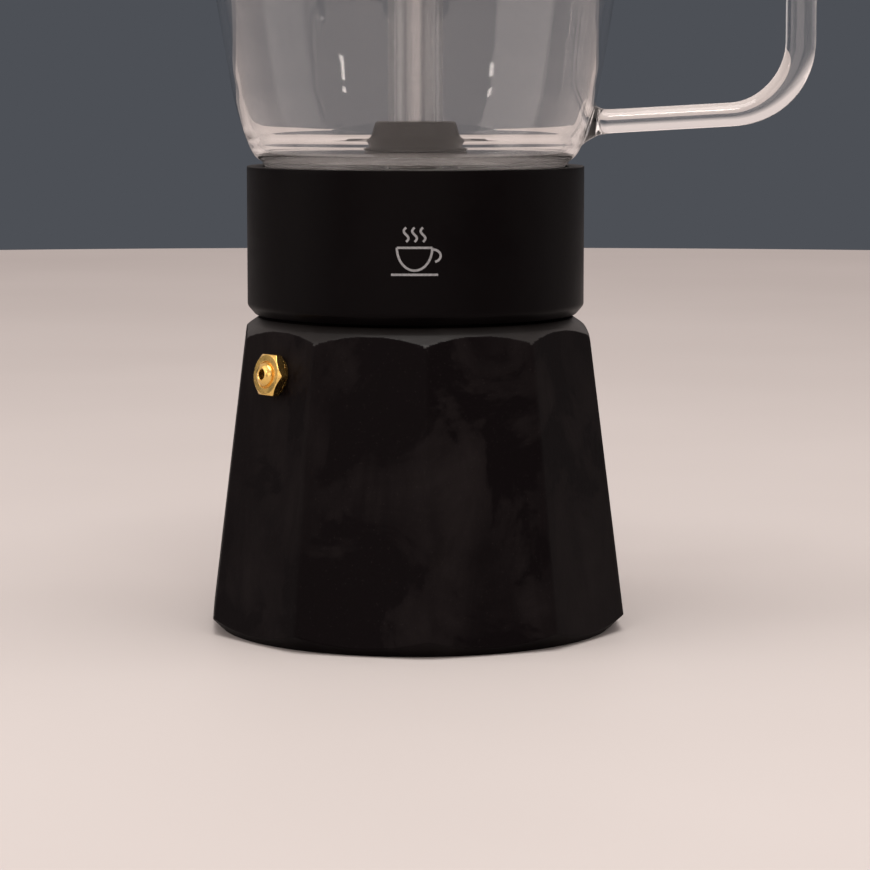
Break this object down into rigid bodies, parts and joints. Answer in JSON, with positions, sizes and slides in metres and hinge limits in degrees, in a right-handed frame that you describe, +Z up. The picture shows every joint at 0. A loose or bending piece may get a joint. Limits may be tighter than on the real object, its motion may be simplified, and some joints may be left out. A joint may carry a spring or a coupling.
{
  "type": "moka pot",
  "caption": "Stove-top moka pot: faceted black boiler with brass safety valve, round black collar, clear glass jug with glass rod handle, and a flat black lid.",
  "frame": {"origin": "centre of the boiler's flat foot, on the surface the pot stands on", "axes": "+Z up along the pot's axis, +X towards the jug's handle, +Y away from the side the picture shows"},
  "size_m": [0.1603, 0.109, 0.214],
  "materials": {
    "black_aluminium": "matt black coating on cast aluminium, with faint grey wear",
    "black_collar": "smooth satin black coating",
    "brass": "turned brass",
    "steel": "machined stainless steel",
    "aluminium": "bare pressed aluminium",
    "silicone": "off-white silicone rubber",
    "black_plastic": "black moulded heat-proof plastic",
    "glass": "clear borosilicate glass"
  },
  "bodies": {
    "boiler": {"boiler": "black_aluminium", "valve_washer": "brass", "valve_body": "brass", "valve_seat": "brass", "valve_spring": "steel"},
    "relief_ball": {"valve_ball": "steel"},
    "funnel": {"funnel_body": "aluminium", "funnel_plate": "aluminium"},
    "seal": {"gasket": "silicone"},
    "filter": {"filter_plate": "aluminium"},
    "top": {"collar": "black_collar", "hollow_bolt": "steel", "bolt_washer": "silicone", "jug_seat_washer": "silicone", "glass_jug": "glass", "glass_handle": "glass", "hub_washer": "black_plastic", "hub_nut": "black_plastic", "tube_seal": "silicone", "riser_tube": "glass", "riser_cap": "black_plastic"},
    "lid": {"lid_cover": "black_collar", "lid_seal": "silicone", "lid_knob": "black_plastic", "knob_insert": "brass", "lid_screw": "steel"}
  },
  "joints": [
    {"name": "valve_pop", "type": "slide", "parent": "boiler", "child": "relief_ball", "axis": [-0.767, -0.63, 0.1221], "range_m": [0, 0.0012], "stiffness_N_per_m": 1000, "springref_m": -0.0018, "deforming": ["valve_spring"]},
    {"name": "funnel_lift", "type": "slide", "parent": "boiler", "child": "funnel", "axis": [0, 0, 1], "range_m": [0, 0.095]},
    {"name": "top_lift", "type": "slide", "parent": "funnel", "child": "seal", "axis": [0, 0, 1], "range_m": [0, 0.07]},
    {"name": "screw_rise", "type": "slide", "parent": "seal", "child": "filter", "axis": [0, 0, 1], "range_m": [0, 0.00561]},
    {"name": "top_turn", "type": "hinge", "parent": "filter", "child": "top", "pos_m": [0, 0, 0.079], "axis": [0, 0, 1], "range_deg": [0, 630]},
    {"name": "lid_lift", "type": "slide", "parent": "top", "child": "lid", "axis": [0, 0, 1], "range_m": [0, 0.05]}
  ],
  "couplings": [
    {"joint": "screw_rise", "follows": "top_turn", "m_per_rad": 0.0005093}
  ]
}
